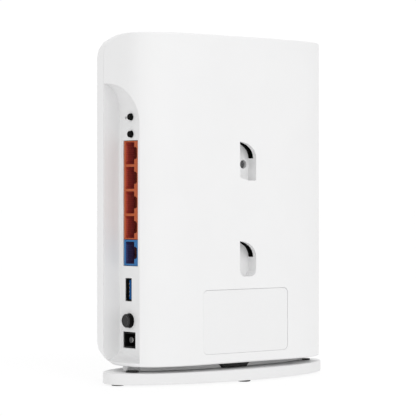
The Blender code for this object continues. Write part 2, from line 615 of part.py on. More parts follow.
def antennas(holder, green, black):
    """Four strip antennas round the inside of the case and the lead from each to its radio."""
    strips = {
        "antenna_top_far": ((-58.0, -8.0), (4.0, 18.0), (193.2, 194.2)),
        "antenna_top_port": ((4.0, 54.0), (4.0, 18.0), (193.2, 194.2)),
        "antenna_side_upper": ((-67.0, -66.0), (-6.0, 8.0), (112.0, 164.0)),
        "antenna_side_lower": ((-67.0, -66.0), (-6.0, 8.0), (36.0, 88.0)),
    }
    for name, limits in strips.items():
        box(name, *limits, green, holder)
    can = BOARD_Y[1] + GAP + 3.0
    routes = {
        "antenna_lead_1": ((-30, 10, 192.4), (-30, 10, 188), (-28, 4, 178), (-30, can + 1.2, 160), (-30, can + 1.2, 152)),
        "antenna_lead_2": ((12, 10, 192.4), (8, 9, 188), (-8, 4, 180), (-18, can + 1.2, 162), (-20, can + 1.2, 146)),
        "antenna_lead_3": ((-65.2, 2, 138), (-62, 2, 136), (-54, 2, 134), (-40, can + 2, 140), (-36, can + 1.2, 146)),
        "antenna_lead_4": ((-65.2, 2, 62), (-62, 2, 64), (-54, 2, 68), (-44, can + 2, 74), (-36, can + 1.2, 78)),
    }
    for name, route in routes.items():
        lead(name, route, 0.7, black, holder)


def lead(name, route, radius, look, holder):
    """A thin lead along a smooth curve through the route's points."""
    ends = [route[0], *route, route[-1]]
    points = []
    for before, start, end, after in zip(ends, ends[1:], ends[2:], ends[3:]):
        for step in range(3):
            points.append([spline(step / 3, *values) for values in zip(before, start, end, after)])
    points.append(route[-1])
    path = bpy.data.curves.new(name, "CURVE")
    path.dimensions = "3D"
    path.bevel_depth = radius * MM
    path.bevel_resolution = 1
    path.use_fill_caps = True
    line = path.splines.new("POLY")
    line.points.add(len(points) - 1)
    for point, place in zip(line.points, points):
        point.co = (*[value * MM for value in place], 1.0)
    path.materials.append(look)
    piece = bpy.data.objects.new(name, path)
    piece.parent = holder
    bpy.context.scene.collection.objects.link(piece)


def spline(share, before, start, end, after):
    """Catmull-Rom interpolation of one coordinate."""
    return 0.5 * (
        2 * start
        + (end - before) * share
        + (2 * before - 5 * start + 4 * end - after) * share**2
        + (3 * start - before - 3 * end + after) * share**3
    )


def main():
    clear_scene()
    white = finish("white_plastic", (0.88, 0.88, 0.88), 0.45)
    label_white = finish("label_white", (0.86, 0.86, 0.86), 0.4)
    grey = finish("grey_plastic", (0.55, 0.55, 0.55), 0.5)
    black = finish("black_plastic", (0.015, 0.015, 0.016), 0.4)
    orange = finish("orange_plastic", (0.5, 0.09, 0.02), 0.45)
    blue = finish("blue_plastic", (0.02, 0.15, 0.42), 0.45)
    steel = finish("steel", (0.6, 0.6, 0.6), 0.35, 1.0)
    gold = finish("gold_contact", (0.8, 0.55, 0.2), 0.3, 1.0)
    green = finish("circuit_board", (0.02, 0.16, 0.07), 0.5)
    metal = finish("aluminium", (0.75, 0.76, 0.77), 0.4, 1.0)
    case, electronics, foot = assembly("case"), assembly("electronics"), assembly("stand")
    front_shell(case, white)
    rear_shell(case, white)
    label(case, label_white)
    screw("case_screw", "Y", (SCREW_X, SCREW_Z), (2.2, 22.6, 20.9), (1.2, 20.9, 8.0), steel, case)
    guide = box("light_guide", (-6.0, 6.0), (-34.2, BOARD_Y[0] - 2.0), (29.2, 30.8), label_white, case)
    guide.data.shade_flat()
    stand(foot, white, black, steel)
    sockets(electronics, orange, blue, gold)
    usb(electronics, steel, blue)
    dc_inlet(electronics, black, steel)
    power_control(electronics, black, grey)
    key_control(electronics, "wifi", WIFI_Z, black, steel)
    key_control(electronics, "wps", WPS_Z, black, steel)
    tact_switch(electronics, "reset", RESET_Y, RESET_Z, 1.25, 0.7, black, steel)
    board(electronics, green, steel, black)
    heat_sink(electronics, metal)
    inner_frame(electronics, grey)
    antennas(electronics, green, black)


main()
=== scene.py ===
"""Looks of an upright home gateway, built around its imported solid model.

Each sub-assembly is a class with its sizes as fields. Sizes are in millimetres and Bench turns them into
metres as it models; the studio's lengths are in metres. The back of the gateway faces +Y and its port bay +X.
"""

from __future__ import annotations

import json
import logging
import math
from dataclasses import dataclass, field
from enum import Enum
from typing import Callable, Iterable, Sequence

import bpy
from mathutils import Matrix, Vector

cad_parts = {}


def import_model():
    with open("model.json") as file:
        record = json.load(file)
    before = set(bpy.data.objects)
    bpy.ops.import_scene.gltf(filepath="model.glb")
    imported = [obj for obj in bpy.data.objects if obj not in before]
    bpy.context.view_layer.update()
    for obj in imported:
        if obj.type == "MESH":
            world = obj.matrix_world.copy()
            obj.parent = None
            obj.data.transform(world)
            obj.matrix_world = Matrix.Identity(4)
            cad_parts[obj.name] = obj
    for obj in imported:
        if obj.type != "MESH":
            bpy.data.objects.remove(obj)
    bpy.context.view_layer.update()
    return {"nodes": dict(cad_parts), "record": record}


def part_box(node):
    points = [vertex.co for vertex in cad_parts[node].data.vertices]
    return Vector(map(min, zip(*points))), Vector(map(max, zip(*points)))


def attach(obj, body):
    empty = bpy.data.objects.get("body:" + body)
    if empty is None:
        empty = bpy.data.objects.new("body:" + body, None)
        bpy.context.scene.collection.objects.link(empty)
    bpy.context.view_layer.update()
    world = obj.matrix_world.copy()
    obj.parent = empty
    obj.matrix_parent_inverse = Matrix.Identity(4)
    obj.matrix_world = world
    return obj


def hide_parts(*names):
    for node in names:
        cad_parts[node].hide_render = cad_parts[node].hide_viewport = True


LOG = logging.getLogger("gateway")
MM = 0.001
CASE = "case"

# How close two corners of a CAD mesh are merged, and the angle in degrees up to which its faces count as one.
MERGE, FLAT_ANGLE = 0.002, 0.4

# How nearly a face's normal lies along an axis when the face counts as facing that way.
FACING = 0.9

Point = tuple[float, float, float]
Colour = tuple[float, float, float]
FaceTest = Callable[[Vector, Vector], bool]


class Axis(Enum):
    """The world axes a round piece can stand along."""

    X = 0
    Y = 1
    Z = 2


class Grain(Enum):
    """The kinds of fine surface a finish can have."""

    SPARK = "spark-eroded mould texture"
    BRUSHED = "brushed along one axis"
    SMOOTH = "polished with faint unevenness"


# ---------------------------------------------------------------------------------------------- shader maths


class Signal:
    """A shader socket that takes part in Python arithmetic."""

    def __init__(self, tree: bpy.types.NodeTree, socket: bpy.types.NodeSocket) -> None:
        """Wraps a socket of a node tree."""
        self.tree = tree
        self.socket = socket

    def _maths(self, operation: str, first: object, second: object) -> "Signal":
        """Adds a Math node.

        Args:
            operation: The Math node's operation.
            first: A Signal or a number.
            second: A Signal or a number.

        Returns:
            The node's result.
        """
        node = self.tree.nodes.new("ShaderNodeMath")
        node.operation = operation
        for place, value in enumerate((first, second)):
            if isinstance(value, Signal):
                self.tree.links.new(value.socket, node.inputs[place])
            else:
                node.inputs[place].default_value = float(value)
        return Signal(self.tree, node.outputs[0])

    def __add__(self, other: object) -> "Signal":
        """Self plus other."""
        return self._maths("ADD", self, other)

    __radd__ = __add__

    def __sub__(self, other: object) -> "Signal":
        """Self minus other."""
        return self._maths("SUBTRACT", self, other)

    def __rsub__(self, other: object) -> "Signal":
        """Other minus self."""
        return self._maths("SUBTRACT", other, self)

    def __mul__(self, other: object) -> "Signal":
        """Self times other."""
        return self._maths("MULTIPLY", self, other)

    __rmul__ = __mul__

    def __gt__(self, other: object) -> "Signal":
        """1 where self is more than other."""
        return self._maths("GREATER_THAN", self, other)

    def __lt__(self, other: object) -> "Signal":
        """1 where self is less than other."""
        return self._maths("LESS_THAN", self, other)

    def least(self, other: object) -> "Signal":
        """The smaller of self and other."""
        return self._maths("MINIMUM", self, other)

    def most(self, other: object) -> "Signal":
        """The larger of self and other."""
        return self._maths("MAXIMUM", self, other)


class Wiring:
    """Adds nodes to a node tree."""

    def __init__(self, tree: bpy.types.NodeTree) -> None:
        """Works on a node tree."""
        self.tree = tree

    def node(self, kind: str, settings: dict[str, object] | None = None, **values: object) -> bpy.types.Node:
        """Adds any shader node.

        Args:
            kind: The node's type.
            settings: Properties of the node, which are set first.
            values: Values or Signals for its sockets, by socket name with _ for a space.

        Returns:
            The node.
        """
        made = self.tree.nodes.new(kind)
        for key, value in (settings or {}).items():
            setattr(made, key, value)
        for key, value in values.items():
            socket = made.inputs[key.replace("_", " ")]
            if isinstance(value, Signal):
                self.tree.links.new(value.socket, socket)
            else:
                socket.default_value = value
        return made

    def signal(self, node: bpy.types.Node, output: str | int = 0) -> Signal:
        """An output of a node as a Signal."""
        return Signal(self.tree, node.outputs[output])


class Recipe(Wiring):
    """A material under construction."""

    def __init__(self, name: str) -> None:
        """Starts a material with a Principled shader.

        Args:
            name: The material's name.
        """
        self.material = bpy.data.materials.new(name)
        self.material.use_nodes = True
        super().__init__(self.material.node_tree)
        self.shader = self.tree.nodes["Principled BSDF"]

    def place(self, stretch: Point = (1.0, 1.0, 1.0)) -> Signal:
        """The point on the piece, stretched per axis.

        Args:
            stretch: The factor for each axis.

        Returns:
            A vector Signal.
        """
        here = self.signal(self.node("ShaderNodeTexCoord"), "Object")
        return self.signal(self.node("ShaderNodeMapping", None, Vector=here, Scale=stretch))

    def noise(self, scale: float, detail: float = 2.0, stretch: Point = (1.0, 1.0, 1.0)) -> Signal:
        """Noise between 0 and 1.

        Args:
            scale: Cells per metre.
            detail: Octaves.
            stretch: The factor for each axis.

        Returns:
            The noise's value.
        """
        grain = self.node("ShaderNodeTexNoise", None, Vector=self.place(stretch), Scale=scale, Detail=detail)
        return self.signal(grain, "Fac")

    def mix(self, share: Signal, first: Colour | Signal, second: Colour | Signal) -> Signal:
        """A colour between two.

        Args:
            share: How much of the second colour there is, from 0 to 1.
            first: The first colour.
            second: The second colour.

        Returns:
            The colour as a Signal.
        """
        blend = self.node("ShaderNodeMix", {"data_type": "RGBA"}, Factor=share)
        inputs = [socket for socket in blend.inputs if socket.type == "RGBA"]
        for socket, colour in zip(inputs, (first, second)):
            if isinstance(colour, Signal):
                self.tree.links.new(colour.socket, socket)
            else:
                socket.default_value = (*colour, 1.0)
        return Signal(self.tree, [socket for socket in blend.outputs if socket.type == "RGBA"][0])

    def relief(self, height: Signal, depth: float, strength: float = 1.0) -> None:
        """Feeds a height into the shader's normal.

        Args:
            height: The height between 0 and 1.
            depth: The height's size in metres.
            strength: How much of it shows.
        """
        bump = self.node("ShaderNodeBump", None, Height=height, Distance=depth, Strength=strength)
        self.tree.links.new(bump.outputs["Normal"], self.shader.inputs["Normal"])

    def set(self, **values: object) -> None:
        """Sets the shader's sockets, by socket name with _ for a space, to values or Signals."""
        for key, value in values.items():
            socket = self.shader.inputs[key.replace("_", " ")]
            if isinstance(value, Signal):
                self.tree.links.new(value.socket, socket)
            elif socket.type == "RGBA":
                socket.default_value = (*value, 1.0)
            else:
                socket.default_value = value


# -------------------------------------------------------------------------------------------------- finishes

# Cells of noise per metre, from the slow mottling of a moulding to the texture of its mould.
MOTTLING, PATCHES, RIPPLES, SPARKS = 38.0, 160.0, 700.0, 2600.0
PATCH_ROUGHNESS = 0.08
RELIEF_SHARE = 0.5


@dataclass(frozen=True)
class MouldedFinish:
    """Moulded plastic or rubber, with faint mottling and the mould's texture in relief."""

    name: str
    colour: Colour
    roughness: float
    mottle: float = 0.012
    grain: Grain = Grain.SPARK
    depth: float = 0.012
    gloss: float = 0.5

    def make(self) -> bpy.types.Material:
        """Builds the material."""
        recipe = Recipe(self.name)
        darker = tuple(value * (1 - 2 * self.mottle) for value in self.colour)
        lighter = tuple(min(1.0, value * (1 + self.mottle)) for value in self.colour)
        recipe.set(Base_Color=recipe.mix(recipe.noise(MOTTLING, 3.0), darker, lighter))
        fine = recipe.noise(SPARKS if self.grain is Grain.SPARK else RIPPLES)
        recipe.set(Roughness=(recipe.noise(PATCHES) - 0.5) * PATCH_ROUGHNESS + self.roughness)
        recipe.set(Specular_IOR_Level=self.gloss)
        recipe.relief(fine, self.depth * MM, RELIEF_SHARE)
        return recipe.material


@dataclass(frozen=True)
class SocketFinish:
    """Coloured moulding with painted shade in its cavities: darker over a reach from the mouth, which lies at
    face_x, inwards, with streaks of painted shade that stand for contact combs.
    """

    name: str
    front: Colour
    # mouth and inside are the colours of the painted shade, at a socket's mouth and deepest in.
    mouth: Colour
    inside: Colour
    face_x: float = 59.45
    reach: float = 4.5
    comb_stretch: Point = (0.3, 0.3, 1.0)
    comb_shade_share: float = 0.35
    roughness: float = 0.48
    gloss: float = 0.35
    depth: float = 0.012

    def make(self) -> bpy.types.Material:
        """Builds the material."""
        recipe = Recipe(self.name)
        axes = recipe.node("ShaderNodeSeparateXYZ", Vector=recipe.place())
        sunk = (recipe.signal(axes, "X") - self.face_x * MM) * (-1.0 / (self.reach * MM))
        depth = sunk.least(1.0).most(0.0)
        # Painted shade: the colour darkens from mouth to inside with depth below the mouth.
        cavity_shade = recipe.mix(depth, self.mouth, self.inside)
        # Painted shade streaks, stretched along Z, stand for contact combs lying in shade.
        combs = recipe.noise(RIPPLES, 2.0, self.comb_stretch)
        cavity_shade = recipe.mix(combs * self.comb_shade_share, cavity_shade, self.inside)
        recipe.set(Base_Color=recipe.mix(sunk > 0.0, self.front, cavity_shade))
        recipe.set(Roughness=recipe.noise(PATCHES) * PATCH_ROUGHNESS + self.roughness)
        recipe.set(Specular_IOR_Level=self.gloss)
        recipe.relief(recipe.noise(SPARKS), self.depth * MM, RELIEF_SHARE)
        return recipe.material


@dataclass(frozen=True)
class MetalFinish:
    """Bare metal, brushed along an axis or only slightly uneven."""

    name: str
    colour: Colour
    roughness: float
    along: Axis = Axis.X
    grain: Grain = Grain.BRUSHED
    lines: float = 2200.0
    length: float = 0.04
    shadow: float = 0.82
    spread: float = 0.16
    depth: float = 0.006
    relief: float = 0.4

    def make(self) -> bpy.types.Material:
        """Builds the material."""
        recipe = Recipe(self.name)
        stretch = [1.0, 1.0, 1.0]
        if self.grain is Grain.BRUSHED:
            stretch[self.along.value] = self.length
        lines = recipe.noise(self.lines, 3.0, tuple(stretch))
        darker = tuple(value * self.shadow for value in self.colour)
        recipe.set(Base_Color=recipe.mix(lines, darker, self.colour), Metallic=1.0)
        recipe.set(Roughness=lines * self.spread + (self.roughness - self.spread / 2))
        recipe.relief(lines, self.depth * MM, self.relief)
        return recipe.material


@dataclass(frozen=True)
class BoardFinish:
    """Solder-masked circuit board, with traces under the mask and tinned pads."""

    name: str
    mask: Colour = (0.008, 0.10, 0.045)
    trace: Colour = (0.02, 0.19, 0.075)
    pad: Colour = (0.62, 0.6, 0.56)
    cells: float = 420.0
    bands: float = 260.0
    bend: float = 3.0
    trace_from: float = 0.55
    trace_gap: float = 0.22
    pad_size: float = 0.10
    roughness: float = 0.42
    pad_polish: float = 0.12
    depth: float = 0.03
    relief: float = 0.6

    def make(self) -> bpy.types.Material:
        """Builds the material."""
        recipe = Recipe(self.name)
        cells = recipe.node("ShaderNodeTexVoronoi", {"distance": "MANHATTAN"}, Vector=recipe.place(),
                            Scale=self.cells)
        runs = recipe.signal(cells, "Distance")
        waves = recipe.node("ShaderNodeTexWave", {"bands_direction": "DIAGONAL"}, Vector=recipe.place(),
                            Scale=self.bands, Distortion=self.bend)
        traces = (recipe.signal(waves) > self.trace_from) * (runs > self.trace_gap)
        pads = runs < self.pad_size
        colour = recipe.mix(pads, recipe.mix(traces, self.mask, self.trace), self.pad)
        recipe.set(Base_Color=colour, Metallic=pads, Roughness=self.roughness - pads * self.pad_polish)
        recipe.relief(traces + pads, self.depth * MM, self.relief)
        return recipe.material


@dataclass(frozen=True)
class Palette:
    """Every finish on the gateway, made once."""

    made: dict[str, bpy.types.Material] = field(default_factory=dict)

    def add(self, *finishes: MouldedFinish | SocketFinish | MetalFinish | BoardFinish) -> None:
        """Makes the finishes' materials."""
        for finish in finishes:
            self.made[finish.name] = finish.make()

    def dress(self, piece: bpy.types.Object, name: str) -> None:
        """Gives a whole piece one finish.

        Args:
            piece: The piece or the CAD node.
            name: The finish's name.
        """
        material = self.made[name]
        if not piece.material_slots:
            piece.data.materials.append(material)
        for slot in piece.material_slots:
            slot.material = material

    def dress_faces(self, piece: bpy.types.Object, name: str, test: FaceTest) -> None:
        """Gives some faces of a piece a second finish.

        Args:
            piece: The piece.
            name: The finish's name.
            test: Says from a face's centre in millimetres and its normal whether it takes the finish.
        """
        piece.data.materials.append(self.made[name])
        last = len(piece.data.materials) - 1
        for face in piece.data.polygons:
            if test(face.center / MM, face.normal):
                face.material_index = last


def gateway_palette() -> Palette:
    """All the finishes."""
    palette = Palette()
    palette.add(
        MouldedFinish("white_shell", (0.83, 0.83, 0.832), 0.46),
        MouldedFinish("white_stand", (0.79, 0.79, 0.792), 0.5),
        MouldedFinish("label_stock", (0.815, 0.815, 0.817), 0.36, 0.006, Grain.SMOOTH, 0.004),
        MouldedFinish("grey_moulding", (0.42, 0.42, 0.425), 0.55),
        MouldedFinish("black_moulding", (0.008, 0.008, 0.0085), 0.42, gloss=0.4),
        MouldedFinish("black_cap", (0.007, 0.007, 0.0075), 0.3, 0.02, Grain.SMOOTH, 0.004, 0.4),
        MouldedFinish("black_key", (0.003, 0.003, 0.003), 0.5, 0.02, Grain.SMOOTH, 0.004, 0.06),
        # Near-black: the USB shell's and DC jack's own colour, and painted shade in the rear cover's pocket
        # slots.
        MouldedFinish("black_and_painted_shade", (0.004, 0.004, 0.004), 0.6, 0.02, Grain.SPARK, 0.01, 0.2),
        MouldedFinish("dark_end_face", (0.055, 0.055, 0.057), 0.5),
        MouldedFinish("rubber", (0.02, 0.02, 0.02), 0.8, 0.05, Grain.SPARK, 0.03, 0.3),
        # The housings carry painted shade in their cavities, darker inwards from the mouth.
        SocketFinish("orange_housing", (0.45, 0.088, 0.020), (0.60, 0.085, 0.050), (0.42, 0.070, 0.060)),
        SocketFinish("blue_housing", (0.022, 0.15, 0.38), (0.045, 0.070, 0.24), (0.10, 0.060, 0.16)),
        MouldedFinish("blue_tongue", (0.001, 0.07, 0.24), 0.45, gloss=0.12),
        MouldedFinish("chip_resin", (0.02, 0.02, 0.022), 0.6),
        MouldedFinish("lamp_lens", (0.82, 0.84, 0.86), 0.25, 0.004, Grain.SMOOTH, 0.002),
        MetalFinish("steel", (0.62, 0.62, 0.63), 0.32),
        MetalFinish("dark_steel", (0.17, 0.17, 0.175), 0.42),
        MetalFinish("tinned_can", (0.70, 0.70, 0.69), 0.36, Axis.Z),
        MetalFinish("nickel_pin", (0.66, 0.65, 0.62), 0.24, Axis.X, Grain.SMOOTH),
        MetalFinish("gold_contact", (0.86, 0.60, 0.24), 0.26, Axis.X),
        MetalFinish("shaded_gold", (0.62, 0.24, 0.15), 0.5, Axis.X),
        MetalFinish("extruded_aluminium", (0.78, 0.79, 0.80), 0.38, Axis.Z),
        BoardFinish("circuit_board"),
    )
    return palette


# ------------------------------------------------------------------------------------------------- modelling


class Bench:
    """Modelling by hand. Every method leaves the object at the origin with its place in its mesh."""

    @staticmethod
    def rest() -> None:
        """Leaves edit mode and deselects everything."""
        if bpy.context.mode != "OBJECT":
            bpy.ops.object.mode_set(mode="OBJECT")
        bpy.ops.object.select_all(action="DESELECT")

    @staticmethod
    def take(piece: bpy.types.Object) -> None:
        """Makes a piece the active one and the only one selected."""
        Bench.rest()
        piece.select_set(True)
        bpy.context.view_layer.objects.active = piece

    @staticmethod
    def copy(node: bpy.types.Object, name: str) -> bpy.types.Object:
        """Copies a CAD node, merges its loose triangles and dissolves its flat seams.

        Args:
            node: The CAD node.
            name: The copy's name.

        Returns:
            The copy, with its own mesh and no materials.
        """
        mesh = node.data.copy()
        mesh.materials.clear()
        piece = bpy.data.objects.new(name, mesh)
        bpy.context.scene.collection.objects.link(piece)
        Bench.take(piece)
        bpy.ops.object.mode_set(mode="EDIT")
        bpy.ops.mesh.select_all(action="SELECT")
        bpy.ops.mesh.remove_doubles(threshold=MERGE * MM)
        bpy.ops.mesh.dissolve_limited(angle_limit=math.radians(FLAT_ANGLE))
        bpy.ops.object.mode_set(mode="OBJECT")
        bpy.ops.mesh.customdata_custom_splitnormals_clear()
        return piece

    @staticmethod
    def settle(name: str) -> bpy.types.Object:
        """Names the primitive just added and puts its place into its mesh."""
        piece = bpy.context.object
        piece.name = piece.data.name = name
        bpy.ops.object.transform_apply(location=True, rotation=True, scale=True)
        return piece

    @staticmethod
    def block(name: str, low: Sequence[float], high: Sequence[float]) -> bpy.types.Object:
        """A block between two corners.

        Args:
            name: The piece's name.
            low: The corner with the lowest X, Y and Z.
            high: The opposite corner.

        Returns:
            The block.
        """
        Bench.rest()
        centre = [(a + b) / 2 * MM for a, b in zip(low, high)]
        bpy.ops.mesh.primitive_cube_add(size=1.0, location=centre)
        bpy.context.object.scale = [(b - a) * MM for a, b in zip(low, high)]
        return Bench.settle(name)

    @staticmethod
    def bar(name: str, axis: Axis, centre: Sequence[float], radius: float, ends: Sequence[float],
            sides: int = 48) -> bpy.types.Object:
        """A round bar.

        Args:
            name: The piece's name.
            axis: The bar's axis.
            centre: The two other coordinates of its axis line, in X, Y, Z order.
            radius: Its radius.
            ends: Its two ends along the axis.
            sides: Its number of sides.

        Returns:
            The bar.
        """
        Bench.rest()
        middle = list(centre)
        middle.insert(axis.value, (ends[0] + ends[1]) / 2)
        turn = {Axis.X: (0, math.pi / 2, 0), Axis.Y: (-math.pi / 2, 0, 0), Axis.Z: (0, 0, 0)}[axis]
        bpy.ops.mesh.primitive_cylinder_add(
            vertices=sides,
            radius=radius * MM,
            depth=(ends[1] - ends[0]) * MM,
            location=[value * MM for value in middle],
            rotation=turn,
        )
        return Bench.settle(name)

    @staticmethod
    def choose(piece: bpy.types.Object, test: FaceTest) -> None:
        """Opens a piece for editing with some of its faces selected.

        Args:
            piece: The piece.
            test: Says from a face's centre in millimetres and its normal whether it is selected.
        """
        Bench.take(piece)
        bpy.ops.object.mode_set(mode="EDIT")
        bpy.ops.mesh.select_mode(type="FACE")
        bpy.ops.mesh.select_all(action="DESELECT")
        bpy.ops.object.mode_set(mode="OBJECT")
        for face in piece.data.polygons:
            face.select = test(face.center / MM, face.normal)
        bpy.ops.object.mode_set(mode="EDIT")

    @staticmethod
    def inset(width: float, depth: float = 0.0) -> None:
        """Insets the selected faces, and moves them inwards along their normal by depth."""
        bpy.ops.mesh.inset(thickness=width * MM, depth=depth * MM)

    @staticmethod
    def pull(step: Sequence[float]) -> None:
        """Extrudes the selected faces by a step."""
        bpy.ops.mesh.extrude_region_move(TRANSFORM_OT_translate={"value": [value * MM for value in step]})

    @staticmethod
    def hooked(name: str, low: Sequence[float], high: Sequence[float], nose: Point,
               width: float) -> bpy.types.Object:
        """A block whose end along X is drawn out into a slanting nose.

        Args:
            name: The piece's name.
            low: The block's corner with the lowest X, Y and Z.
            high: The opposite corner.
            nose: How far the end is drawn out. The sign of its X says which end.
            width: The width of the rounding on all edges.

        Returns:
            The block.
        """
        piece = Bench.block(name, low, high)
        Bench.choose(piece, lambda centre, normal: normal.x * math.copysign(1.0, nose[0]) > FACING)
        Bench.pull(nose)
        bpy.ops.object.mode_set(mode="OBJECT")
        Bench.soften(piece, width, 1)
        return piece

    @staticmethod
    def modify(piece: bpy.types.Object, kind: str, **settings: object) -> None:
        """Adds a modifier with its settings and applies it."""
        Bench.take(piece)
        step = piece.modifiers.new(kind.title(), kind)
        for key, value in settings.items():
            setattr(step, key, value)
        bpy.ops.object.modifier_apply(modifier=step.name)

    @staticmethod
    def carve(piece: bpy.types.Object, cutter: bpy.types.Object) -> None:
        """Takes a cutter out of a piece and removes the cutter."""
        Bench.modify(piece, "BOOLEAN", operation="DIFFERENCE", solver="EXACT", object=cutter)
        bpy.data.objects.remove(cutter, do_unlink=True)

    @staticmethod
    def soften(piece: bpy.types.Object, width: float, segments: int = 2, angle: float = 35.0) -> None:
        """Rounds a piece's sharp edges.

        Args:
            piece: The piece.
            width: The rounding's width.
            segments: Its steps.
            angle: The least angle, in degrees, of an edge that is rounded.
        """
        Bench.modify(piece, "BEVEL", width=width * MM, segments=segments, limit_method="ANGLE",
                     angle_limit=math.radians(angle), use_clamp_overlap=True)

    @staticmethod
    def shade(piece: bpy.types.Object, angle: float = 32.0) -> None:
        """Shades a piece smoothly across edges flatter than the angle, with its large faces true."""
        Bench.take(piece)
        bpy.ops.object.shade_smooth_by_angle(angle=math.radians(angle))
        Bench.modify(piece, "WEIGHTED_NORMAL", keep_sharp=True, weight=80)

    @staticmethod
    def weld(name: str, pieces: Iterable[bpy.types.Object]) -> bpy.types.Object:
        """Joins pieces into one object of several closed shells."""
        pieces = list(pieces)
        Bench.take(pieces[0])
        for piece in pieces:
            piece.select_set(True)
        if len(pieces) > 1:
            bpy.ops.object.join()
        bpy.context.object.name = name
        return bpy.context.object

    @staticmethod
    def shift(piece: bpy.types.Object, step: Sequence[float]) -> None:
        """Moves a piece's mesh by a step."""
        Bench.take(piece)
        bpy.ops.object.mode_set(mode="EDIT")
        bpy.ops.mesh.select_all(action="SELECT")
        bpy.ops.transform.translate(value=[value * MM for value in step])
        bpy.ops.object.mode_set(mode="OBJECT")


@dataclass
class Workshop:
    """The loaded frame with the palette, shared by the sub-assemblies."""

    nodes: dict[str, bpy.types.Object]
    bodies: dict[str, str]
    slots: dict[str, str]
    palette: Palette
    replaced: set[str] = field(default_factory=set)

    def limits(self, node: str) -> tuple[list[float], list[float]]:
        """A node's lowest and highest corners in millimetres."""
        low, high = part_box(node)
        return [value / MM for value in low], [value / MM for value in high]

    def dress(self, node: str, finish: str) -> None:
        """Gives a CAD node a finish."""
        self.palette.dress(self.nodes[node], finish)
        LOG.info("%s keeps its solid, in %s", node, finish)

    def hand_over(self, piece: bpy.types.Object, node: str, finish: str) -> bpy.types.Object:
        """Lets a piece stand for a CAD node.

        Args:
            piece: The finished piece.
            node: The node it stands for.
            finish: Its finish.

        Returns:
            The piece.
        """
        self.palette.dress(piece, finish)
        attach(piece, self.bodies[node])
        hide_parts(node)
        self.replaced.add(node)
        LOG.info("%s stands for %s, in %s", piece.name, node, finish)
        return piece

    def add(self, piece: bpy.types.Object, body: str, slot: str, finish: str) -> bpy.types.Object:
        """Adds a piece that has no node of its own.

        Args:
            piece: The finished piece.
            body: The body it rides on.
            slot: The record's material slot, which is not used.
            finish: Its finish.

        Returns:
            The piece.
        """
        self.palette.dress(piece, finish)
        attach(piece, body)
        LOG.info("%s rides on %s, in %s", piece.name, body, finish)
        return piece

    def refine(self, node: str, finish: str, width: float, angle: float = 35.0,
               segments: int = 2) -> bpy.types.Object:
        """Replaces a node by a copy of itself with rounded edges and smooth faces.

        Args:
            node: The node.
            finish: The copy's finish.
            width: The rounding's width.
            angle: The least angle, in degrees, of an edge that is rounded.
            segments: The rounding's steps.

        Returns:
            The copy.
        """
        piece = Bench.copy(self.nodes[node], node + "_part")
        if width:
            Bench.soften(piece, width, segments, angle)
        Bench.shade(piece)
        return self.hand_over(piece, node, finish)


# -------------------------------------------------------------------------------------------- sub-assemblies


@dataclass
class Shells:
    """Front cover, rear cover and rating label."""

    shop: Workshop
    edge: float = 0.3
    label_edge: float = 0.05
    label_growth: Point = (1.005, 1.0, 1.009)
    label_middle: Point = (0.0, 0.0, 34.9)
    label_shift: Point = (0.08, 0.0, -0.05)
    slot_y: tuple[float, float] = (24.1, 28.35)
    slot_x: tuple[float, float] = (-12.0, 4.95)
    slot_z: tuple[float, float] = (-9.4, 4.0)
    pocket_tops: tuple[float, float] = (137.4, 80.5)

    def build(self) -> None:
        """Models the case."""
        self.shop.refine("front_cover", "white_shell", self.edge)
        cover = self.shop.refine("rear_cover", "white_shell", self.edge, 40.0)
        # Painted shade: the faces in the slots behind the wall pockets are coloured near-black.
        self.shop.palette.dress_faces(cover, "black_and_painted_shade", self.in_shaded_pocket_slot)
        self.label()
        self.shop.refine("case_screw", "dark_steel", 0.1)
        self.shop.refine("light_guide", "lamp_lens", 0.15)

    def in_shaded_pocket_slot(self, centre: Vector, normal: Vector) -> bool:
        """Says whether a face of the rear cover lies in the slot behind the top of a wall pocket, which is
        coloured near-black as painted shade.

        Args:
            centre: The face's centre in millimetres.
            normal: Its normal, which makes no difference.

        Returns:
            Whether it does.
        """
        sunk = self.slot_y[0] < centre.y < self.slot_y[1] and self.slot_x[0] < centre.x < self.slot_x[1]
        heights = [centre.z - top for top in self.pocket_tops]
        return sunk and any(self.slot_z[0] < height < self.slot_z[1] for height in heights)

    def label(self) -> None:
        """Models the rating label, which sits low and to the port side in its recess."""
        piece = Bench.copy(self.shop.nodes["rating_label"], "rating_label_part")
        Bench.choose(piece, lambda centre, normal: True)
        middle = [value * MM for value in self.label_middle]
        bpy.ops.transform.resize(value=self.label_growth, center_override=middle)
        bpy.ops.object.mode_set(mode="OBJECT")
        Bench.shift(piece, self.label_shift)
        Bench.soften(piece, self.label_edge)
        Bench.shade(piece)
        self.shop.hand_over(piece, "rating_label", "label_stock")


@dataclass
class Stand:
    """Plate, neck, lock tab, pads, feet and screws."""

    shop: Workshop
    plate_edge: float = 0.25

    def build(self) -> None:
        """Models the stand."""
        self.shop.refine("base_plate", "white_stand", self.plate_edge)
        self.shop.refine("stand_neck", "white_stand", 0.15)
        self.shop.refine("stand_lock", "black_moulding", 0.3)
        for side in ("port", "far"):
            self.shop.refine(f"neck_pad_{side}", "black_moulding", 0.15)
            self.shop.refine(f"stand_screw_{side}", "steel", 0.12)
        for place in ("port", "far", "rear", "front"):
            self.shop.refine(f"foot_{place}", "rubber", 0.2)


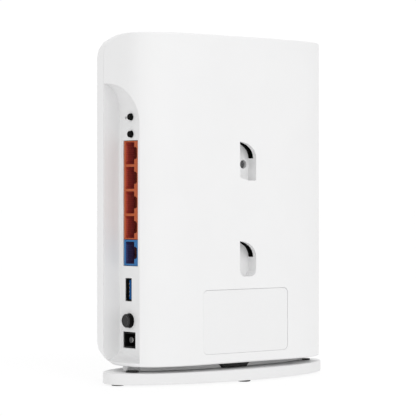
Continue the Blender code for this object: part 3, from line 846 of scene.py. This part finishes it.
@dataclass
class Sockets:
    """The five network sockets with their contact wires."""

    shop: Workshop
    wires: int = 8
    wire_half: float = 0.21
    wire_pitch: float = 1.02
    wire_heights: tuple[float, float] = (0.3, 0.65)
    wire_margins: tuple[float, float] = (0.4, 0.6)
    wire_kick: Point = (-0.3, 0.5, 0.0)
    carrier_height: float = 0.45
    rib_ends: tuple[float, float] = (53.7, 58.7)
    rib_half: float = 0.22
    rib_root: float = 0.4
    rib_height: float = 0.55
    rib_nose: Point = (0.5, -0.3, 0.0)
    sill_x: tuple[float, float] = (50.0, 59.55)
    sill_y: tuple[float, float] = (5.0, 5.9)
    sill_half: float = 2.7

    def build(self) -> None:
        """Models the housings, the wires and the combs."""
        self.housing("rj45_gang", "orange_housing", range(1, 5))
        self.housing("rj45_single", "blue_housing", range(5, 6))
        for index in range(1, 6):
            self.contacts(f"socket_contacts_{index}")
            self.comb(index)

    def housing(self, node: str, finish: str, sockets: Iterable[int]) -> None:
        """Models a housing with the thin bar that closes the latch notch of each of its sockets.

        Args:
            node: The housing's node.
            finish: Its finish.
            sockets: The numbers of its sockets.
        """
        parts = [Bench.copy(self.shop.nodes[node], node + "_body")]
        Bench.soften(parts[0], 0.12, 2, 50.0)
        for index in sockets:
            low, high = self.shop.limits(f"socket_contacts_{index}")
            middle = (low[2] + high[2]) / 2
            bottom = (self.sill_x[0], self.sill_y[0], middle - self.sill_half)
            top = (self.sill_x[1], self.sill_y[1], middle + self.sill_half)
            sill = Bench.block("notch_sill", bottom, top)
            Bench.choose(sill, lambda centre, normal: normal.y < -FACING)
            Bench.inset(0.3, 0.1)
            bpy.ops.object.mode_set(mode="OBJECT")
            Bench.soften(sill, 0.1)
            parts.append(sill)
        piece = Bench.weld(node + "_part", parts)
        Bench.shade(piece)
        self.shop.hand_over(piece, node, finish)

    def comb(self, index: int) -> None:
        """Models the ribs that keep a socket's wires apart, near its mouth.

        Args:
            index: The socket's number, from the top.
        """
        low, high = self.shop.limits(f"socket_contacts_{index}")
        middle = (low[2] + high[2]) / 2
        ribs = []
        for number in range(self.wires + 1):
            z = middle + self.wire_pitch * (self.wires / 2 - number)
            bottom = (self.rib_ends[0], low[1] - self.rib_root, z - self.rib_half)
            top = (self.rib_ends[1], low[1] + self.rib_height, z + self.rib_half)
            ribs.append(Bench.hooked("comb_rib", bottom, top, self.rib_nose, 0.07))
        piece = Bench.weld(f"socket_comb_{index}", ribs)
        Bench.shade(piece)
        housing, finish = ("rj45_single", "blue_housing") if index == 5 else ("rj45_gang", "orange_housing")
        self.shop.add(piece, CASE, self.shop.slots[housing], finish)

    def contacts(self, node: str) -> None:
        """Models the sprung wires of a socket on their carrier.

        Args:
            node: The contacts' node.
        """
        low, high = self.shop.limits(node)
        middle = (low[2] + high[2]) / 2
        carrier = Bench.block(node + "_carrier", low, (high[0], low[1] + self.carrier_height, high[2]))
        Bench.soften(carrier, 0.1)
        parts = [carrier]
        for number in range(self.wires):
            z = middle + self.wire_pitch * ((self.wires - 1) / 2 - number)
            bottom = (low[0] + self.wire_margins[0], low[1] + self.wire_heights[0], z - self.wire_half)
            top = (high[0] - self.wire_margins[1], low[1] + self.wire_heights[1], z + self.wire_half)
            parts.append(Bench.hooked(f"{node}_wire", bottom, top, self.wire_kick, 0.06))
        piece = Bench.weld(node + "_part", parts)
        Bench.shade(piece)
        self.shop.hand_over(piece, node, "shaded_gold")


@dataclass(frozen=True)
class StripRow:
    """A row of contact strips on the USB tongue, placed by how far its ends lie from the tongue's tip."""

    count: int
    pitch: float
    back: float
    front: float


@dataclass
class Inlets:
    """The USB receptacle and the DC inlet."""

    shop: Workshop
    rows: tuple[StripRow, StripRow] = (StripRow(4, 2.25, 7.8, 0.1), StripRow(5, 1.9, 3.8, 2.2))
    strip_half: float = 0.45
    strip_heights: tuple[float, float] = (-0.16, 0.1)
    leaf_back: float = 7.0
    leaf_front: float = 2.2
    leaf_depths: tuple[float, float] = (1.75, 1.5)
    leaf_half: float = 0.7
    leaf_tip: Point = (0.9, 0.45, 0.0)

    def build(self) -> None:
        """Models both."""
        self.shop.refine("usb_shell", "black_and_painted_shade", 0.1, 50.0)
        self.shop.refine("usb_tongue", "blue_tongue", 0.12)
        self.tongue_contacts()
        self.shop.refine("dc_jack", "black_and_painted_shade", 0.15, 50.0)
        pin = self.shop.refine("dc_pin", "nickel_pin", 0.25)
        # The pin's end face, which faces +X, is coloured dark grey; its sides stay nickel.
        self.shop.palette.dress_faces(pin, "dark_end_face", lambda centre, normal: normal.x > 0.8)
        self.spring()

    def tongue_contacts(self) -> None:
        """Models the contact strips along the front side of the tongue."""
        low, high = self.shop.limits("usb_tongue")
        middle = (low[2] + high[2]) / 2
        strips = []
        for row in self.rows:
            for number in range(row.count):
                z = middle + row.pitch * (number - (row.count - 1) / 2)
                bottom = (high[0] - row.back, low[1] + self.strip_heights[0], z - self.strip_half)
                top = (high[0] - row.front, low[1] + self.strip_heights[1], z + self.strip_half)
                strip = Bench.block("usb_strip", bottom, top)
                Bench.soften(strip, 0.04, 1)
                strips.append(strip)
        piece = Bench.weld("usb_contacts", strips)
        Bench.shade(piece)
        self.shop.add(piece, CASE, "gold_contact", "gold_contact")

    def spring(self) -> None:
        """Models the side spring that presses on the plug beside the pin."""
        low, high = self.shop.limits("dc_jack")
        middle = (low[2] + high[2]) / 2
        bottom = (high[0] - self.leaf_back, high[1] - self.leaf_depths[0], middle - self.leaf_half)
        top = (high[0] - self.leaf_front, high[1] - self.leaf_depths[1], middle + self.leaf_half)
        leaf = Bench.hooked("dc_spring", bottom, top, self.leaf_tip, 0.06)
        Bench.shade(leaf)
        self.shop.add(leaf, CASE, "steel", "nickel_pin")


@dataclass
class Controls:
    """The on/off button, the two small keys and the reset plunger, with the switches behind them."""

    shop: Workshop
    flange_step: float = 0.9
    flange_top: float = 1.2
    cap_base: float = 4.7
    cap_sides: int = 16
    chamfer: float = 0.55
    chamfer_scale: float = 0.84
    rim: float = 0.35
    dish: Point = (-0.3, 0.0, 0.0)
    dish_scale: float = 0.86
    overlap: float = 0.1
    bore_half: float = 2.3
    bore_margin: float = 1.0
    painted_shade_below: float = 0.4

    def build(self) -> None:
        """Models every control."""
        self.power_button()
        self.shop.refine("power_plunger", "grey_moulding", 0.15)
        self.shop.refine("power_switch", "grey_moulding", 0.2)
        for key in ("wifi", "wps", "reset"):
            if key != "reset":
                self.shop.refine(f"{key}_button", "black_key", 0.1)
            self.shop.refine(f"{key}_plunger", "black_moulding", 0.1)
            self.shop.refine(f"{key}_switch", "steel", 0.1)

    def power_button(self) -> None:
        """Models the on/off button: a many-sided cap, chamfered and dished, on a skirt and a round flange,
        with painted shade on the faces that turn away from +X.
        """
        node = "power_button"
        low, high = self.shop.limits(node)
        centre = ((low[1] + high[1]) / 2, (low[2] + high[2]) / 2)
        flange = (high[1] - low[1]) / 2
        radius = flange - self.flange_step
        base = low[0] + self.cap_base
        cap = Bench.bar("power_cap", Axis.X, centre, radius, (base, high[0] - self.chamfer), self.cap_sides)
        Bench.choose(cap, lambda place, normal: normal.x > FACING)
        Bench.pull((self.chamfer, 0.0, 0.0))
        bpy.ops.transform.resize(value=(1.0, self.chamfer_scale, self.chamfer_scale))
        Bench.inset(self.rim)
        Bench.pull(self.dish)
        bpy.ops.transform.resize(value=(1.0, self.dish_scale, self.dish_scale))
        bpy.ops.object.mode_set(mode="OBJECT")
        Bench.soften(cap, 0.09, 2, 12.0)
        skirt_ends = (low[0] + self.flange_top - self.overlap, base + self.overlap)
        rings = (
            Bench.bar("power_skirt", Axis.X, centre, radius, skirt_ends, self.cap_sides),
            Bench.bar("power_flange", Axis.X, centre, flange, (low[0], low[0] + self.flange_top)),
        )
        for ring in rings:
            bottom = (low[0] - self.bore_margin, *(value - self.bore_half for value in centre))
            top = (skirt_ends[1] + self.bore_margin, *(value + self.bore_half for value in centre))
            Bench.carve(ring, Bench.block("plunger_bore", bottom, top))
        piece = Bench.weld(node + "_part", (cap, *rings))
        Bench.shade(piece, 9.0)
        self.shop.hand_over(piece, node, "black_cap")
        # Painted shade: faces turned away from +X (the sides, skirt and flange) take the keys' darker, less
        # glossy black.
        self.shop.palette.dress_faces(piece, "black_key", lambda place, normal: normal.x < self.painted_shade_below)


@dataclass
class Electronics:
    """Everything inside: frame, board, chips, shield cans, heat sink, antennas and leads."""

    shop: Workshop

    def build(self) -> None:
        """Models the inside."""
        self.shop.refine("inner_frame", "grey_moulding", 0.3)
        self.shop.refine("main_board", "circuit_board", 0.08)
        self.shop.refine("heat_sink", "extruded_aluminium", 0.12)
        self.shop.refine("processor", "chip_resin", 0.12)
        self.shop.refine("memory_chip", "chip_resin", 0.12)
        for can in ("upper", "lower"):
            self.shop.refine(f"shield_can_{can}", "tinned_can", 0.0)
        self.shop.refine("bulk_capacitor", "black_moulding", 0.2)
        self.shop.refine("status_led", "lamp_lens", 0.15)
        for index in range(1, 5):
            self.shop.refine(f"board_screw_{index}", "steel", 0.12)
            self.shop.refine(f"antenna_lead_{index}", "black_moulding", 0.0)
        for strip in ("top_far", "top_port", "side_upper", "side_lower"):
            self.shop.refine(f"antenna_{strip}", "circuit_board", 0.08)


# ---------------------------------------------------------------------------------------------------- studio


@dataclass(frozen=True)
class Lamp:
    """A soft area light aimed at a point, with its places and size in metres and its power in watts."""

    name: str
    place: Point
    aim: Point
    size: float
    power: float

    def build(self) -> None:
        """Adds the light."""
        data = bpy.data.lights.new(self.name, "AREA")
        data.size, data.energy = self.size, self.power
        lamp = bpy.data.objects.new(self.name, data)
        lamp.location = self.place
        lamp.rotation_euler = (Vector(self.aim) - Vector(self.place)).to_track_quat("-Z", "Y").to_euler()
        bpy.context.scene.collection.objects.link(lamp)


@dataclass
class Studio:
    """The pale floor, the soft light and the camera, with lengths in metres.

    The sky is evenly bright to the camera. For the object it loses light toward each direction in shades, by
    the square of how far a ray faces it.
    """

    camera_place: Point = (0.7254, 0.8720, 0.10565)
    camera_turn: float = 39.63
    lens: float = 167.4
    shift: float = -0.0258
    floor_half: float = 12.0
    floor_glow: float = 0.74
    floor_greys: tuple[Colour, Colour] = ((0.24, 0.24, 0.24), (0.25, 0.25, 0.25))
    sky: float = 1.03
    shades: tuple[tuple[Point, float], ...] = (((0.77, -0.64, 0.0), 0.28), ((-0.77, 0.64, 0.0), 0.36))
    key: Lamp = Lamp("key", (0.1, 1.6, 1.5), (0.0, 0.0, 0.1), 1.2, 7.5)

    def floor(self) -> None:
        """Lays the floor."""
        Bench.rest()
        bpy.ops.mesh.primitive_plane_add(size=self.floor_half * 2, location=(0, 0, 0))
        ground = bpy.context.object
        ground.name = "floor"
        recipe = Recipe("floor_paper")
        paper = recipe.mix(recipe.noise(0.6), *self.floor_greys)
        recipe.set(Base_Color=paper, Roughness=0.9, Specular_IOR_Level=0.1)
        recipe.set(Emission_Color=(1.0, 1.0, 1.0), Emission_Strength=self.floor_glow)
        ground.data.materials.append(recipe.material)

    def light(self) -> None:
        """Lights the scene."""
        world = bpy.data.worlds.new("studio")
        bpy.context.scene.world = world
        world.use_nodes = True
        sky = Wiring(world.node_tree)
        backdrop = world.node_tree.nodes["Background"]
        backdrop.inputs["Color"].default_value = (1.0, 1.0, 1.0, 1.0)
        toward = sky.signal(sky.node("ShaderNodeTexCoord"), "Generated")
        strength = self.sky
        for aim, loss in self.shades:
            facing = sky.node("ShaderNodeVectorMath", {"operation": "DOT_PRODUCT"})
            world.node_tree.links.new(toward.socket, facing.inputs[0])
            facing.inputs[1].default_value = aim
            share = sky.signal(facing, "Value").most(0.0)
            strength = strength - share * share * loss
        plain = sky.signal(sky.node("ShaderNodeLightPath"), "Is Camera Ray")
        strength = plain * self.sky + (1 - plain) * strength
        world.node_tree.links.new(strength.socket, backdrop.inputs["Strength"])
        self.key.build()

    def camera(self) -> None:
        """Sets up the camera."""
        data = bpy.data.cameras.new("camera")
        data.sensor_width, data.lens, data.shift_y = 36.0, self.lens, self.shift
        data.clip_start, data.clip_end = 0.05, 60.0
        camera = bpy.data.objects.new("camera", data)
        camera.location = self.camera_place
        turn = math.radians(self.camera_turn)
        ahead = Vector((-math.sin(turn), -math.cos(turn), 0.0))
        camera.rotation_euler = ahead.to_track_quat("-Z", "Y").to_euler()
        bpy.context.scene.collection.objects.link(camera)
        bpy.context.scene.camera = camera

    def build(self) -> None:
        """Builds the studio."""
        bpy.context.scene.view_settings.view_transform = "Standard"
        self.floor()
        self.light()
        self.camera()


def main() -> None:
    """Builds the gateway's looks around the frame."""
    logging.basicConfig(level=logging.INFO, format="%(name)s: %(message)s")
    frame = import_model()
    record = frame["record"]
    bodies = {node: body for body, nodes in record["behaviour"]["bodies"].items() for node in nodes}
    slots = {part["node"]: part["material_slot"] for part in record["subparts"]}
    shop = Workshop(frame["nodes"], bodies, slots, gateway_palette())
    Studio().build()
    for assembly in (Shells, Stand, Sockets, Inlets, Controls, Electronics):
        assembly(shop).build()
    for node in sorted(set(frame["nodes"]) - shop.replaced):
        shop.dress(node, "grey_moulding")


if __name__ == "__main__":
    main()
